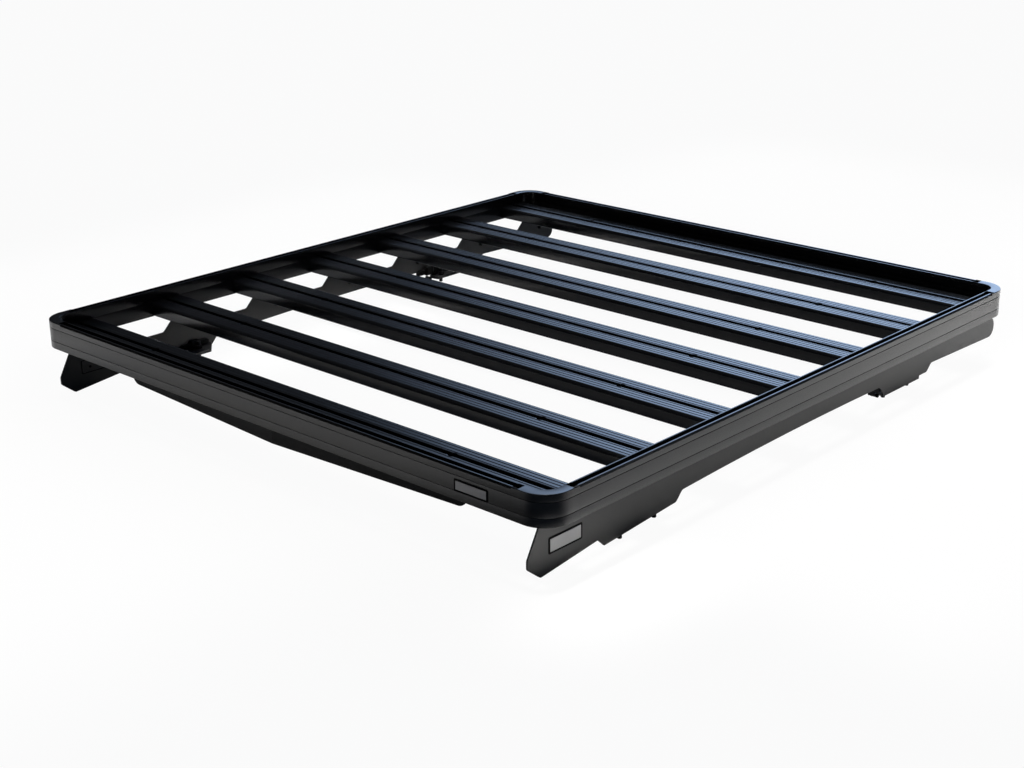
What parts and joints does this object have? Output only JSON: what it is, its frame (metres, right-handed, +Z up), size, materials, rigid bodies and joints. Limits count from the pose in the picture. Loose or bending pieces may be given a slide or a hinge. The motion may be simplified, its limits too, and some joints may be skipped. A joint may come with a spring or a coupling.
{
  "type": "flat platform roof rack",
  "caption": "Flat black slatted platform roof rack with a rounded perimeter rail, T-slot slats, sheet foot rails with mounting studs and a folded wind deflector.",
  "frame": {"origin": "on the floor plane under the middle of the rack, at the level of the lowest stud tips", "axes": "+Z up, front of the rack at -Y, +X to the right as seen from the front"},
  "size_m": [1.255, 1.396, 0.1555],
  "materials": {
    "coated_slat": "satin black powder coat",
    "coated_rail": "satin black powder coat",
    "coated_casting": "satin black powder coat",
    "coated_sheet": "fine-textured black powder coat",
    "bracket_black": "black coat",
    "stud_black": "black oxide"
  },
  "bodies": {
    "root": {"slat_1": "coated_slat", "slat_2": "coated_slat", "slat_3": "coated_slat", "slat_4": "coated_slat", "slat_5": "coated_slat", "slat_6": "coated_slat", "slat_7": "coated_slat", "front_rail": "coated_rail", "right_rail": "coated_rail", "rear_rail": "coated_rail", "left_rail": "coated_rail", "front_left_corner": "coated_casting", "front_right_corner": "coated_casting", "rear_right_corner": "coated_casting", "rear_left_corner": "coated_casting", "left_foot_rail": "coated_sheet", "right_foot_rail": "coated_sheet", "wind_deflector": "coated_sheet", "front_left_mounting_bracket": "bracket_black", "rear_left_mounting_bracket": "bracket_black", "front_right_mounting_bracket": "bracket_black", "rear_right_mounting_bracket": "bracket_black", "front_left_studs": "stud_black", "rear_left_studs": "stud_black", "front_right_studs": "stud_black", "rear_right_studs": "stud_black"}
  },
  "joints": []
}
